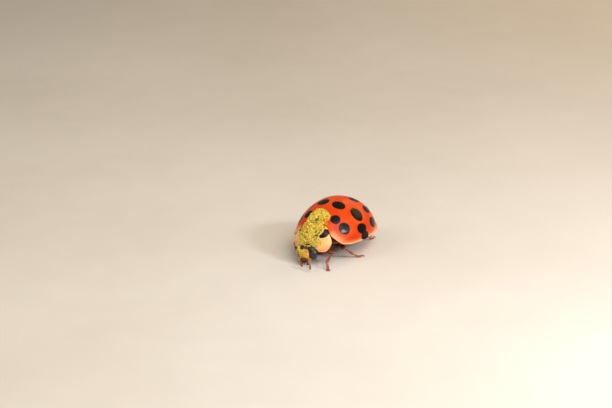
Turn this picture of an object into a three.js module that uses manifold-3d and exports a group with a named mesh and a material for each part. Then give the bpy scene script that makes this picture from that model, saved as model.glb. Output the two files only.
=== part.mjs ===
// A harlequin ladybird (Harmonia axyridis, red form with black spots), life size, standing on six feet.
// Millimetres, +Z up. The beetle faces -Y and its left side is +X. While it is built, the floor is z = 0 and
// y = 0 is where the wing cases are widest. The last lines put the origin at the middle of its footprint.
import * as THREE from "three";
import { mergeVertices } from "three/addons/utils/BufferGeometryUtils.js";
import Module from "manifold-3d";

const wasm = await Module();
wasm.setup();

// ---- Driving dimensions ----
const SEAM = 0.03; // the thin gap between neighbouring plates
const FAR = 9; // beyond the body on every side
const FINEST = 0.012; // edges shorter than this are merged away
const RIM_Z = 1.3; // height of the wing cases' rim above the floor

const WING = {
  halfWidth: 2.83,
  frontReach: 3.7,
  rearReach: 3.34,
  rise: 2.6,
  planPower: 2.1, // 2 would make each quarter of the outline an ellipse
  archPower: 1.14, // 1 would make each cross-section half an ellipse
  wall: 0.5,
  rim: 0.09,
  rimDepth: 0.1,
};
// The front edge of the wing cases: a shallow bow, with a bulge beside each hind corner of the pronotum.
const BASE = { midY: -2.74, bow: 0.04, bulge: 0.165, bulgeX: 1.37, bulgeWidth: 0.38 };
const SHOULDER = { lowY: -2.46, highY: -2.96, highZ: 0.5 }; // their front edge's slant, seen from the side
const TRUNK = { share: 0.79, top: 2.04, belly: 0.46, split: 0.5 };

const COLOURS = {
  elytra: [0xe8401c, 0.22],
  pronotum: [0xefd9b4, 0.35],
  scutellum: [0x1a1412, 0.35],
  head: [0xdcb98a, 0.35],
  eye: [0x0c0a0b, 0.15],
  mouth: [0x6b3a1e, 0.4],
  leg: [0x8e3a17, 0.38],
  feeler: [0xa5552a, 0.4],
  underside: [0x2a1510, 0.5],
  abdomen: [0x6e2c12, 0.5],
};

// ---- Points on the body, as [x, y, z above the rim's level], for the left side ----
// Each leg is given from its hip by its knee and ankle to its toe. The right ones are mirrored.
const LEGS = {
  front: {
    left: [[0.52, -3.42, -0.6], [1.76, -3.34, -0.42], [1.82, -4.36, -0.74], [2.2, -4.74, -1.13]],
    right: [[0.52, -3.42, -0.6], [1.74, -3.2, -0.34], [2.0, -2.72, -0.94], [2.02, -2.24, -1.13]],
  },
  mid: {
    left: [[1.0, -1.5, -0.56], [2.1, -2.28, -0.34], [2.38, -1.6, -0.96], [2.96, -0.98, -1.13]],
    right: [[1.0, -1.5, -0.56], [2.1, -1.94, -0.34], [2.5, -1.2, -0.96], [3.04, -0.58, -1.13]],
  },
  hind: {
    left: [[1.06, 0.34, -0.56], [2.42, 1.02, -0.34], [1.62, 2.0, -0.92], [1.68, 2.78, -1.13]],
    right: [[1.06, 0.34, -0.56], [2.46, 0.72, -0.42], [2.16, 1.72, -0.88], [1.94, 2.48, -1.13]],
  },
};
const LEG_RADIUS = {
  coxa: [0.38, 0.3, 0.28],
  femur: [0.26, 0.29, 0.26],
  tibia: [0.26, 0.25],
  tarsus: [0.25, 0.25],
};
const ANTENNAE = {
  left: [[0.36, -4.42, -0.7], [0.66, -4.88, -0.78], [0.93, -5.3, -0.9], [1.16, -5.66, -1.02]],
  right: [[0.36, -4.42, -0.7], [0.32, -4.84, -0.78], [0.0, -5.2, -0.92], [-0.34, -5.46, -1.02]],
};
const PALPS = {
  left: [[0.16, -4.46, -1.0], [0.36, -4.72, -1.03], [0.5, -4.9, -1.04]],
  right: [[0.16, -4.46, -1.0], [0.3, -4.66, -1.03], [0.4, -4.8, -1.04]],
};
const FEELER_RADIUS = {
  antenna: [0.25, 0.25, 0.25, 0.25, 0.27, 0.26],
  palp: [0.25, 0.25, 0.26, 0.26],
};
const SIDES = [
  ["left", 1],
  ["right", -1],
];

// ---- Solids and meshes ----
function solidOf(geometry) {
  const bare = geometry.clone();
  bare.deleteAttribute("normal");
  bare.deleteAttribute("uv");
  const merged = mergeVertices(bare, 1e-4);
  const corners = merged.index.array;
  const kept = [];
  for (let i = 0; i < corners.length; i += 3) {
    const [a, b, c] = corners.slice(i, i + 3);
    if (a !== b && b !== c && c !== a) kept.push(a, b, c);
  }
  return new wasm.Manifold(
    new wasm.Mesh({
      numProp: 3,
      vertProperties: merged.attributes.position.array,
      triVerts: new Uint32Array(kept),
    }),
  );
}

const biggest = (solid) => solid.decompose().sort((a, b) => b.volume() - a.volume())[0];

function geometryOf(solid) {
  const mesh = solid.getMesh();
  const geometry = new THREE.BufferGeometry();
  geometry.setAttribute("position", new THREE.BufferAttribute(mesh.vertProperties, 3));
  geometry.setIndex(new THREE.BufferAttribute(mesh.triVerts, 1));
  geometry.computeVertexNormals();
  return geometry;
}

const beetle = new THREE.Group();

function addNode(name, solid, slot) {
  const [colour, roughness] = COLOURS[slot];
  const material = new THREE.MeshStandardMaterial({ color: colour, roughness, metalness: 0 });
  const mesh = new THREE.Mesh(geometryOf(biggest(solid.simplify(FINEST))), material);
  mesh.name = name;
  beetle.add(mesh);
}

const reshape = (geometry, place) => {
  const points = geometry.attributes.position;
  for (let i = 0; i < points.count; i++) {
    points.setXYZ(i, ...place(points.getX(i), points.getY(i), points.getZ(i)));
  }
  return geometry;
};

const aboveRim = ([x, y, z], mirror = 1) => new THREE.Vector3(mirror * x, y, z + RIM_Z);

function box(low, high) {
  const size = high.map((v, i) => v - low[i]);
  const geometry = new THREE.BoxGeometry(...size);
  geometry.translate(...low.map((v, i) => v + size[i] / 2));
  return solidOf(geometry);
}

function ellipsoid(centre, radii, turn = 0, across = 12, down = 8) {
  const geometry = new THREE.SphereGeometry(1, across, down);
  geometry.scale(...radii);
  geometry.rotateX(turn);
  geometry.translate(centre.x, centre.y, centre.z);
  return solidOf(geometry);
}

// A round limb through some points, with a radius at each of several even steps along it and rounded ends.
function limb(points, radii, grow = 0, sides = 8) {
  const path = points.length > 2 ? new THREE.CatmullRomCurve3(points) : new THREE.LineCurve3(...points);
  const length = path.getLength();
  const roundEnd = (radius) => [
    [0, 0.7 * (radius + grow)],
    [0.7 * (radius + grow), 0.45 * (radius + grow)],
  ];
  const profile = [
    ...roundEnd(radii[0]).map(([r, past]) => new THREE.Vector2(r, -past)),
    ...radii.map((r, i) => new THREE.Vector2(r + grow, (length * i) / (radii.length - 1))),
    ...roundEnd(radii.at(-1)).reverse().map(([r, past]) => new THREE.Vector2(r, length + past)),
  ];
  const up = new THREE.Vector3(0, 0, 1);
  return solidOf(
    reshape(new THREE.LatheGeometry(profile, sides), (x, y, z) => {
      const u = THREE.MathUtils.clamp(y / length, 0, 1);
      const along = path.getTangentAt(u);
      const side = along.clone().cross(up).normalize();
      const other = side.clone().cross(along);
      const point = path.getPointAt(u).addScaledVector(along, y - u * length);
      return point.addScaledVector(side, x).addScaledVector(other, z).toArray();
    }),
  );
}

// ---- The dome of the wing cases ----
// How far the outline lies from the middle in a direction.
function outlineReach(angle) {
  const { halfWidth, frontReach, rearReach, planPower } = WING;
  const across = Math.abs(Math.cos(angle)) / halfWidth;
  const along = Math.abs(Math.sin(angle)) / (Math.sin(angle) < 0 ? frontReach : rearReach);
  return (across ** planPower + along ** planPower) ** (-1 / planPower);
}

// Spins a profile of [share of the outline, height above the rim], from the crown round to the underside, and
// stretches it to the outline.
function spun(profile, around) {
  const upwards = profile.map(([share, z]) => new THREE.Vector2(share, z)).reverse();
  const lathe = new THREE.LatheGeometry(upwards, around);
  lathe.rotateX(Math.PI / 2);
  return solidOf(
    reshape(lathe, (x, y, z) => {
      const reach = outlineReach(Math.atan2(y, x));
      return [x * reach, y * reach, z + RIM_Z];
    }),
  );
}

// The dome's cross-section from the crown down to an angle, in degrees.
const arch = (share, rise, steps, lowest = 90) =>
  Array.from({ length: steps + 1 }, (_, i) => {
    const a = THREE.MathUtils.degToRad((lowest * i) / steps);
    return [share * Math.sin(a), rise * Math.max(Math.cos(a), 0) ** WING.archPower];
  });

// Where the front edge of the wing cases lies, as seen from above.
function baseY(x) {
  const fromBulge = (Math.abs(x) - BASE.bulgeX) / BASE.bulgeWidth;
  return BASE.midY - BASE.bow * x * x - BASE.bulge * Math.exp(-fromBulge * fromBulge);
}

// Everything in front of the wing cases' front edge, as seen from above.
function frontCutter(gap) {
  const side = 4;
  const steps = 20;
  const plan = new THREE.Shape();
  plan.moveTo(-side, -FAR);
  plan.lineTo(side, -FAR);
  for (let i = 0; i <= steps; i++) {
    const x = side - (2 * side * i) / steps;
    plan.lineTo(x, baseY(x) + gap);
  }
  return solidOf(new THREE.ExtrudeGeometry(plan, { depth: 6, bevelEnabled: false }));
}

// Everything in front of the shoulders, as seen from the side.
function shoulderCutter(gap) {
  const { lowY, highY, highZ } = SHOULDER;
  const slant = new THREE.Shape();
  slant.moveTo(-FAR, -1);
  slant.lineTo(lowY + 0.1 + gap, -1);
  slant.lineTo(lowY + gap, 0);
  slant.quadraticCurveTo(lowY - 0.32 + gap, highZ * 0.28, highY + gap, highZ);
  slant.lineTo(-FAR, highZ);
  const geometry = new THREE.ExtrudeGeometry(slant, { depth: 8, bevelEnabled: false, curveSegments: 5 });
  geometry.translate(0, 0, -4);
  return solidOf(reshape(geometry, (x, y, z) => [z, x, y + RIM_Z]));
}

function addWingCases() {
  const { rise, wall, rim, rimDepth, halfWidth } = WING;
  const inner = 1 - wall / halfWidth;
  const edge = 1 + rim / halfWidth;
  const profile = [
    ...arch(1, rise, 11, 82),
    [edge, rimDepth],
    [edge, rimDepth * 0.3],
    [1, -0.02],
    ...arch(inner, rise - wall, 6).reverse(),
  ];
  const tools = [frontCutter(0), shoulderCutter(0), scutellumSolid(SEAM)];
  const shell = tools.reduce((solid, tool) => solid.subtract(tool), spun(profile, 40));
  addNode("elytron_left", shell.intersect(box([SEAM / 2, -FAR, 0], [FAR, FAR, FAR])), "elytra");
  addNode("elytron_right", shell.intersect(box([-FAR, -FAR, 0], [-SEAM / 2, FAR, FAR])), "elytra");
}

const SCUTELLUM = { halfWidth: 0.25, length: 0.42 };

// The small triangle between the roots of the wing cases, spaced out by gap.
function scutellumSolid(gap) {
  const halfWidth = SCUTELLUM.halfWidth + gap;
  const plan = new THREE.Shape();
  plan.moveTo(-halfWidth, BASE.midY + SEAM - 2 * gap);
  plan.lineTo(halfWidth, BASE.midY + SEAM - 2 * gap);
  plan.lineTo(0, BASE.midY + SCUTELLUM.length + gap);
  const wedge = new THREE.ExtrudeGeometry(plan, { depth: 4, bevelEnabled: false });
  const crown = spun([...arch(1, WING.rise + 0.01 + gap, 10, 80), [0, 0]], 40);
  const inner = 1 - WING.wall / WING.halfWidth;
  const hollow = spun([...arch(inner, WING.rise - WING.wall - gap, 10, 80), [0, -1]], 40);
  return solidOf(wedge).intersect(crown).subtract(hollow);
}

// ---- Trunk: what the wing cases cover, thorax in front and abdomen behind ----
function addTrunk() {
  const { share, top, belly, split } = TRUNK;
  const under = arch(share, belly, 5).map(([s, z]) => [s, -z]).reverse();
  const trunk = spun([...arch(share, top, 5), ...under.slice(1)], 24)
    .subtract(frontCutter(0.1))
    .subtract(shoulderCutter(0.2));
  const cut = box([-FAR, split - SEAM / 2, 0], [FAR, split + SEAM / 2, FAR]);
  const coxae = [...hips("mid"), ...hips("hind")].map((hip) => coxaSolid(hip, SEAM));
  const limbs = ["mid", "hind"].flatMap((pair) => SIDES.map((side) => femurSolid([pair, ...side], SEAM)));
  const parted = [cut, ...coxae, ...limbs].reduce((solid, tool) => solid.subtract(tool), trunk);
  const pieces = parted.decompose().sort((a, b) => b.volume() - a.volume());
  const middleY = (solid) => solid.boundingBox().max[1] + solid.boundingBox().min[1];
  const [front, back] = pieces.slice(0, 2).sort((a, b) => middleY(a) - middleY(b));
  addNode("thorax", front, "underside");
  addNode("abdomen", back, "abdomen");
}

// ---- Pronotum: the shield behind the head ----
const SHIELD = {
  crown: new THREE.QuadraticBezierCurve(
    new THREE.Vector2(-2.77, 1.6),
    new THREE.Vector2(-3.62, 1.42),
    new THREE.Vector2(-4.04, 0.1),
  ),
  side: new THREE.CatmullRomCurve3([
    new THREE.Vector3(1.38, -3.04, 0.68),
    new THREE.Vector3(1.6, -3.32, 0.26),
    new THREE.Vector3(1.39, -3.7, -0.22),
    new THREE.Vector3(0.88, -3.98, -0.26),
  ]),
  steepest: THREE.MathUtils.degToRad(78), // slope of the flanks at their edge
  heart: new THREE.Vector3(0, -3.3, -0.1), // the point that its thickness is measured towards
  wall: 0.48,
  pinch: { depth: 0.15, across: 0.74, width: 0.17, along: 0.25 }, // draws the sides of the back edge forward
};

// across runs from -1 to 1 and along from 0, at the back edge, to 1, at the front edge.
function shieldPoint(across, along) {
  const crown = SHIELD.crown.getPoint(along);
  const side = SHIELD.side.getPoint(along);
  const a = Math.abs(across) * SHIELD.steepest;
  const drop = (1 - Math.cos(a)) / (1 - Math.cos(SHIELD.steepest));
  const x = (Math.sign(across) * side.x * Math.sin(a)) / Math.sin(SHIELD.steepest);
  const { depth, across: middle, width, along: reach } = SHIELD.pinch;
  const fade = 1 - THREE.MathUtils.smoothstep(along, 0, reach);
  const pinch = depth * fade * Math.exp(-(((Math.abs(across) - middle) / width) ** 2));
  const y = crown.x + (side.y - crown.x) * drop - pinch;
  return new THREE.Vector3(x, y, crown.y + (side.z - crown.y) * drop);
}

function shieldSolid(gap = 0) {
  const slab = new THREE.BoxGeometry(2, 1, 1, 18, 7, 1);
  const shield = reshape(slab, (x, y, z) => {
    const outer = shieldPoint(x, 0.5 - y);
    const inwards = SHIELD.heart.clone().sub(outer).setLength((SHIELD.wall + gap) * (0.5 - z));
    return outer.add(inwards).add(new THREE.Vector3(0, 0, RIM_Z)).toArray();
  });
  return solidOf(shield);
}

// ---- Head ----
const HEAD = {
  centre: [0, -4.02, -0.42],
  radii: [0.78, 0.54, 0.64], // half width, half thickness through the face, half length of the face
  tilt: -0.12, // radians: the face looks forwards and a little up
  eye: [0.62, -4.22, -0.44],
  eyeRadii: [0.26, 0.27, 0.4],
  labrum: [-0.1, -4.44, -0.94],
  labrumRadii: [0.29, 0.25, 0.27],
};

// A rounded part of the head, spaced out all round by grow.
const headPart = (centre, radii, grow, across, down) =>
  ellipsoid(centre, radii.map((r) => r + grow), HEAD.tilt, across, down);
const headSolid = (grow = 0) => headPart(aboveRim(HEAD.centre), HEAD.radii, grow, 16, 10);
const eyeSolid = (mirror, grow = 0) => headPart(aboveRim(HEAD.eye, mirror), HEAD.eyeRadii, grow, 12, 9);
const labrumSolid = (grow = 0) => headPart(aboveRim(HEAD.labrum), HEAD.labrumRadii, grow, 10, 7);

const antennaSolid = (side, mirror, grow = 0) =>
  limb(ANTENNAE[side].map((p) => aboveRim(p, mirror)), FEELER_RADIUS.antenna, grow);
const palpSolid = (side, mirror, grow = 0) =>
  limb(PALPS[side].map((p) => aboveRim(p, mirror)), FEELER_RADIUS.palp, grow);

function addHead() {
  const eyes = [1, -1].map((mirror) => eyeSolid(mirror, SEAM));
  const coxae = hips("front").map((hip) => coxaSolid(hip, SEAM));
  const sockets = [...eyes, ...coxae, labrumSolid(SEAM)];
  addNode("head", sockets.reduce((head, tool) => head.subtract(tool), headSolid()), "head");
  addNode("labrum", labrumSolid(), "mouth");
  for (const [side, mirror] of SIDES) {
    addNode(`eye_${side}`, eyeSolid(mirror), "eye");
    const near = [headSolid(SEAM), eyeSolid(mirror, SEAM), labrumSolid(SEAM)];
    const clear = (solid) => near.reduce((s, tool) => s.subtract(tool), solid);
    addNode(`palp_${side}`, clear(palpSolid(side, mirror)), "mouth");
    const antenna = clear(antennaSolid(side, mirror));
    addNode(`antenna_${side}`, antenna.subtract(palpSolid(side, mirror, SEAM)), "feeler");
  }
}

// ---- Prothorax: carries the head and the front legs, under the pronotum ----
const PROTHORAX = { centre: [0, -3.36, -0.02], radii: [1.3, 0.62, 0.64] };

function addProthorax() {
  const tools = [headSolid(SEAM), shieldSolid(SEAM), ...hips("front").map((hip) => coxaSolid(hip, SEAM))];
  for (const side of SIDES) tools.push(femurSolid(["front", ...side], SEAM));
  const core = ellipsoid(aboveRim(PROTHORAX.centre), PROTHORAX.radii, 0, 14, 9);
  addNode("prothorax", tools.reduce((solid, tool) => solid.subtract(tool), core), "underside");
}

// ---- Legs ----
const hips = (pair) => SIDES.map(([side, mirror]) => aboveRim(LEGS[pair][side][0], mirror));

const coxaSolid = (hip, grow = 0) => {
  const centre = hip.clone().add(new THREE.Vector3(-0.16 * Math.sign(hip.x), 0, 0.02));
  return ellipsoid(centre, LEG_RADIUS.coxa.map((r) => r + grow), 0, 10, 7);
};

// The piece of a leg between one joint and the next.
function legSolid(part, first, [pair, side, mirror], grow = 0) {
  const joints = LEGS[pair][side].slice(first, first + 2);
  return limb(joints.map((p) => aboveRim(p, mirror)), LEG_RADIUS[part], grow);
}
const femurSolid = (leg, grow) => legSolid("femur", 0, leg, grow);
const tibiaSolid = (leg, grow) => legSolid("tibia", 1, leg, grow);
const tarsusSolid = (leg, grow) => legSolid("tarsus", 2, leg, grow);

function addLegs() {
  const underFloor = box([-FAR, -FAR, -FAR], [FAR, FAR, 0]);
  for (const leg of Object.keys(LEGS).flatMap((pair) => SIDES.map((side) => [pair, ...side]))) {
    const [pair, side, mirror] = leg;
    const name = `${pair}_${side}`;
    const coxa = coxaSolid(aboveRim(LEGS[pair][side][0], mirror));
    const tarsus = tarsusSolid(leg).subtract(tibiaSolid(leg, SEAM));
    addNode(`${name}_coxa`, coxa.subtract(femurSolid(leg, SEAM)), "leg");
    addNode(`${name}_femur`, femurSolid(leg), "leg");
    addNode(`${name}_tibia`, tibiaSolid(leg).subtract(femurSolid(leg, SEAM)), "leg");
    addNode(`${name}_tarsus`, tarsus.subtract(underFloor), "leg");
  }
}

addWingCases();
addNode("scutellum", scutellumSolid(0), "scutellum");
addNode("pronotum", shieldSolid().subtract(headSolid(SEAM)), "pronotum");
addHead();
addProthorax();
addTrunk();
addLegs();

// The origin is the middle of the footprint, on the floor.
const extent = new THREE.Box3().setFromObject(beetle);
const middle = extent.getCenter(new THREE.Vector3());
beetle.position.set(-middle.x, -middle.y, 0);

export default beetle;
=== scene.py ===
import math

import bmesh
import bpy
import numpy as np
from mathutils import Matrix, Vector, noise

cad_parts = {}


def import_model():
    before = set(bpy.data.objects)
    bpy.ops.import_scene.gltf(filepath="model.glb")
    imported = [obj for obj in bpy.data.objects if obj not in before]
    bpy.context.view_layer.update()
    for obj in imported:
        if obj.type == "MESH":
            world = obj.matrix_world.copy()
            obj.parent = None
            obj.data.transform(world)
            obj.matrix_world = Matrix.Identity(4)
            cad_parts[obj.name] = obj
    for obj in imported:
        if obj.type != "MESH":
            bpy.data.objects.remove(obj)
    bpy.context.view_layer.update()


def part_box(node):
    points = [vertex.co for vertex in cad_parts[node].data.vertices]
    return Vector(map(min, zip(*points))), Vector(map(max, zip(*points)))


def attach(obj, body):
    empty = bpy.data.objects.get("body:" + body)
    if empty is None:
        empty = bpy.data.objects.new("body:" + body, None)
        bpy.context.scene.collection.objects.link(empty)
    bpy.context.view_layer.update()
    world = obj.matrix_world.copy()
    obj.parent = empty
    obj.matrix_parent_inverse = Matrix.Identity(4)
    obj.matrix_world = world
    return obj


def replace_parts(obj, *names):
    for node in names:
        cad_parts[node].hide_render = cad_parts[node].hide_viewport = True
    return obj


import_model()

# A harlequin ladybird, life size. Shapes are worked out in millimetres in the beetle's own frame. It faces
# -y, its left side is +x, and the origin is under the crown of the wing cases, at the level of their rim.
# world() turns that into the frame's metres.
MM = 0.001
RIM_Z = 1.3
FLOOR = -RIM_Z
FAR = 9.0

# The wing cases' dome, their rim and seam, and their front edge with its bulges and the scutellum's notch.
HALF_WIDTH, FRONT_REACH, REAR_REACH, RISE = 2.83, 3.7, 3.34, 2.6
PLAN_POWER, ARCH_POWER = 2.1, 1.14
RIM, SEAM = 0.09, 0.03
BASE_Y, BASE_BOW = -2.74, 0.04
BULGE, BULGE_X, BULGE_WIDTH = 0.165, 1.37, 0.38
SCUTELLUM_HALF, SCUTELLUM_LENGTH = 0.25, 0.42
TRUNK_SHARE, TRUNK_TOP, BELLY = 0.79, 1.3, 0.46

# The pronotum: the middle line from back to front, its side edge, and the pinch in its back edge.
SHIELD_CROWN = np.array([(-2.77, 1.6), (-3.62, 1.42), (-4.04, 0.1)])
SHIELD_SIDE = np.array([(1.38, -3.04, 0.68), (1.6, -3.32, 0.26), (1.39, -3.7, -0.22), (0.88, -3.98, -0.26)])
SHIELD_STEEPEST = math.radians(78)
PINCH, PINCH_ACROSS, PINCH_WIDTH, PINCH_ALONG = 0.15, 0.74, 0.17, 0.25
SHIELD_HEART = np.array([0, -3.3, -0.1])

HEAD_CENTRE, HEAD_RADII, HEAD_TILT = np.array([0, -4.02, -0.42]), np.array([0.78, 0.54, 0.64]), -0.12
EYE_CENTRE, EYE_RADII = np.array([0.62, -4.22, -0.44]), np.array([0.26, 0.27, 0.4])
PROTHORAX_CENTRE, PROTHORAX_RADII = np.array([0, -3.36, -0.02]), np.array([1.3, 0.62, 0.64])
NECK_CENTRE, NECK_RADII = np.array([0, -2.98, 0.35]), np.array([1.28, 0.42, 0.85])

# Hip, knee, ankle and toe, with x outwards, and then the lines of the antennae and palps.
LEGS = {
    ("front", "left"): [(0.52, -3.42, -0.6), (1.76, -3.34, -0.42), (1.82, -4.36, -0.74), (2.2, -4.74, -1.13)],
    ("front", "right"): [(0.52, -3.42, -0.6), (1.74, -3.2, -0.34), (2.0, -2.72, -0.94), (2.02, -2.24, -1.13)],
    ("mid", "left"): [(1.0, -1.5, -0.56), (2.1, -2.28, -0.34), (2.38, -1.6, -0.96), (2.96, -0.98, -1.13)],
    ("mid", "right"): [(1.0, -1.5, -0.56), (2.1, -1.94, -0.34), (2.5, -1.2, -0.96), (3.04, -0.58, -1.13)],
    ("hind", "left"): [(1.06, 0.34, -0.56), (2.42, 1.02, -0.34), (1.62, 2.0, -0.92), (1.68, 2.78, -1.13)],
    ("hind", "right"): [(1.06, 0.34, -0.56), (2.46, 0.72, -0.42), (2.16, 1.72, -0.88), (1.94, 2.48, -1.13)],
}
ANTENNAE = {
    "left": [(0.36, -4.42, -0.7), (0.66, -4.88, -0.78), (0.93, -5.3, -0.9), (1.16, -5.66, -1.02)],
    "right": [(0.36, -4.42, -0.7), (0.32, -4.84, -0.78), (0.0, -5.2, -0.92), (-0.34, -5.46, -1.02)],
}
PALPS = {
    "left": [(0.16, -4.46, -1.0), (0.36, -4.72, -1.03), (0.5, -4.9, -1.04)],
    "right": [(0.16, -4.46, -1.0), (0.3, -4.66, -1.03), (0.4, -4.8, -1.04)],
}
SIDES = {"left": 1, "right": -1}

# Spots of a wing case: x, y, half length, half width on the surface, turn from the body's line (degrees). The
# last two are the small spot near the tip and this side's half of the one behind the scutellum.
SPOTS = {
    "left": [
        (0.75, -0.79, 0.48, 0.53, 0), (1.23, -2.09, 0.39, 0.39, 0), (1.98, -2.02, 0.47, 0.47, 0),
        (2.02, -0.27, 0.53, 0.60, 0), (2.62, -0.56, 0.52, 0.40, 8), (2.80, -0.44, 0.46, 0.36, -6),
        (0.86, 1.26, 0.56, 0.43, 0), (1.84, 1.42, 0.56, 0.37, 0), (2.50, 1.22, 0.60, 0.42, 0),
        (0.95, 2.52, 0.30, 0.24, 0), (0.0, -2.18, 0.40, 0.28, 0),
    ],
    "right": [
        (0.62, -0.82, 0.48, 0.50, 0), (1.17, -2.10, 0.39, 0.38, 0), (1.95, -1.98, 0.45, 0.46, 0),
        (2.05, -0.30, 0.55, 0.56, 0), (2.70, -0.62, 0.50, 0.55, 0),
        (0.90, 1.22, 0.52, 0.43, 0), (1.87, 1.38, 0.57, 0.39, 0), (2.52, 1.20, 0.56, 0.42, 0),
        (0.92, 2.54, 0.28, 0.25, 0), (0.0, -2.18, 0.40, 0.28, 0),
    ],
}

wing_low, wing_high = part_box("elytron_left")
ORIGIN = np.array([
    wing_low.x / MM - SEAM / 2,
    wing_high.y / MM - REAR_REACH * (1 + RIM / HALF_WIDTH),
    RIM_Z,
])
rng = np.random.default_rng(19)


def world(points):
    return (np.asarray(points, float) + ORIGIN) * MM


def unit(vectors):
    return vectors / np.maximum(np.linalg.norm(vectors, axis=-1, keepdims=True), 1e-12)


def packed(*parts):
    return np.stack(np.broadcast_arrays(*parts), -1)


def circle(count):
    return np.linspace(0, 2 * np.pi, count, endpoint=False)


def globe(lat, lon):
    """Points of the unit sphere."""
    return packed(np.cos(lat) * np.cos(lon), np.cos(lat) * np.sin(lon), np.sin(lat))


def hump(*shares):
    """1 in the middle, and less the more widths away."""
    return np.exp(-sum(share**2 for share in shares))


def surface_normal(surface, u, v, step):
    one, two = surface(u + step, v) - surface(u - step, v), surface(u, v + step) - surface(u, v - step)
    return unit(np.cross(one, two))


def ease(value, low, high):
    """A smooth share of the way from low to high, in either direction."""
    t = np.clip((value - low) / (high - low), 0, 1)
    return t * t * (3 - 2 * t)


# ---- Meshes ----
class Form:
    """Points, faces and named numbers of a mesh that is being put together."""

    def __init__(self, points=(), faces=(), **values):
        self.points, self.faces, self.values = np.zeros((0, 3)), [], {}
        self.add(points, faces, **values)

    def add(self, points, faces, **values):
        points = np.asarray(points, float).reshape(-1, 3)
        self.faces += [face + len(self.points) for face in faces]
        self.points = np.concatenate([self.points, points])
        for name, value in values.items():
            value = np.broadcast_to(value, len(points)).astype(float)
            self.values[name] = np.concatenate([self.values.get(name, []), value])

    def join(self, *others):
        for other in others:
            self.add(other.points, other.faces, **other.values)
        return self

    def mirrored(self):
        return Form(self.points * [-1, 1, 1], flipped(self.faces), **self.values)


def quads(rows, columns, wrap=False):
    index = np.arange(rows * columns).reshape(rows, columns)
    if wrap:
        index = np.concatenate([index, index[:, :1]], 1)
    return packed(index[:-1, :-1], index[1:, :-1], index[1:, 1:], index[:-1, 1:]).reshape(-1, 4)


def fan(tip, ring, flip=False):
    faces = packed(tip, ring, np.roll(ring, -1))
    return faces[:, ::-1] if flip else faces


def flipped(faces):
    return [face[:, ::-1] for face in faces]


def wrapped(rows, sides):
    """Faces of a stack of rings that is closed by a point before the first ring and one after the last."""
    count = rows * sides
    tops = fan(count, np.arange(sides)), fan(count + 1, np.arange(count - sides, count), flip=True)
    return [quads(rows, sides, wrap=True), *tops]


def placed(name, data):
    made = bpy.data.objects.new(name, data)
    bpy.context.scene.collection.objects.link(made)
    return made


def piece(name, form, finish, sharp=None, roots=None):
    """Makes a mesh object. roots are the places of its points on the unwrap of the skin they grow from."""
    mesh = bpy.data.meshes.new(name)
    corners = np.concatenate([face.ravel() for face in form.faces])
    sizes = np.concatenate([np.full(len(face), face.shape[1]) for face in form.faces])
    mesh.vertices.add(len(form.points))
    mesh.vertices.foreach_set("co", world(form.points).astype(np.float32).ravel())
    mesh.loops.add(len(corners))
    mesh.loops.foreach_set("vertex_index", corners.astype(np.int32))
    mesh.polygons.add(len(sizes))
    mesh.polygons.foreach_set("loop_start", (np.cumsum(sizes) - sizes).astype(np.int32))
    mesh.update(calc_edges=True)
    mesh.validate()
    mesh.shade_smooth()
    if sharp:
        mesh.set_sharp_from_angle(angle=math.radians(sharp))
    for key, values in form.values.items():
        mesh.attributes.new(key, "FLOAT", "POINT").data.foreach_set("value", values.astype(np.float32))
    if roots is not None:
        mesh.uv_layers.new(name="OFBake").data.foreach_set("uv", roots.astype(np.float32)[corners].ravel())
    mesh.materials.append(finish)
    made = placed(name, mesh)
    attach(made, "root")
    return made


def skin(node, form, finish, sharp=None):
    """The piece that stands for a solid."""
    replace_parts(piece(f"{node}_skin", form, finish, sharp), node)


def spline(knots, place):
    """A smooth curve through the knots. place counts them from 0."""
    knots = np.asarray(knots, float)
    ends = np.concatenate([[2 * knots[0] - knots[1]], knots, [2 * knots[-1] - knots[-2]]])
    i = np.clip(place.astype(int), 0, len(knots) - 2)
    w = (place - i)[..., None]
    p0, p1, p2, p3 = [ends[i + k] for k in range(4)]
    return 0.5 * (2 * p1 + (p2 - p0) * w + (2 * p0 - 5 * p1 + 4 * p2 - p3) * w**2
                  + (3 * p1 - p0 - 3 * p2 + p3) * w**3)


def smooth_path(knots, count):
    """Even steps along a smooth curve through the knots."""
    last = len(knots) - 2
    place = [i + np.linspace(0, 1, 24, endpoint=i == last) for i in range(last + 1)]
    fine = spline(knots, np.concatenate(place))
    length = np.concatenate([[0], np.cumsum(np.linalg.norm(np.diff(fine, axis=0), axis=1))])
    steps = np.linspace(0, length[-1], count)
    return np.stack([np.interp(steps, length, line) for line in fine.T], -1)


def stops(share, table):
    """A smooth run through (share, value) stops."""
    table = np.asarray(table, float)
    share = np.clip(share, table[0, 0], table[-1, 0])
    i = np.clip(np.searchsorted(table[:, 0], share, side="right") - 1, 0, len(table) - 2)
    t = (share - table[i, 0]) / (table[i + 1, 0] - table[i, 0])
    return table[i, 1] + (table[i + 1, 1] - table[i, 1]) * t * t * (3 - 2 * t)


BEDS = []  # surfaces that carry hairs: points, outward, along, number of hairs, hair length


def cell_sides(grid):
    """Two sides and the area of each cell of a grid of points."""
    one, two = np.diff(grid, axis=0)[:, :-1], np.diff(grid, axis=1)[:-1]
    return one, two, np.linalg.norm(np.cross(one, two), axis=-1)


def grow(grid, outward, along, density, length):
    """Marks a surface for hairs, so many to the square millimetre."""
    expected = cell_sides(grid)[2].sum() * density
    BEDS.append((grid, outward, np.broadcast_to(along, grid.shape), expected, length))


CAP_TURNS = np.radians([28, 52, 72])


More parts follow.
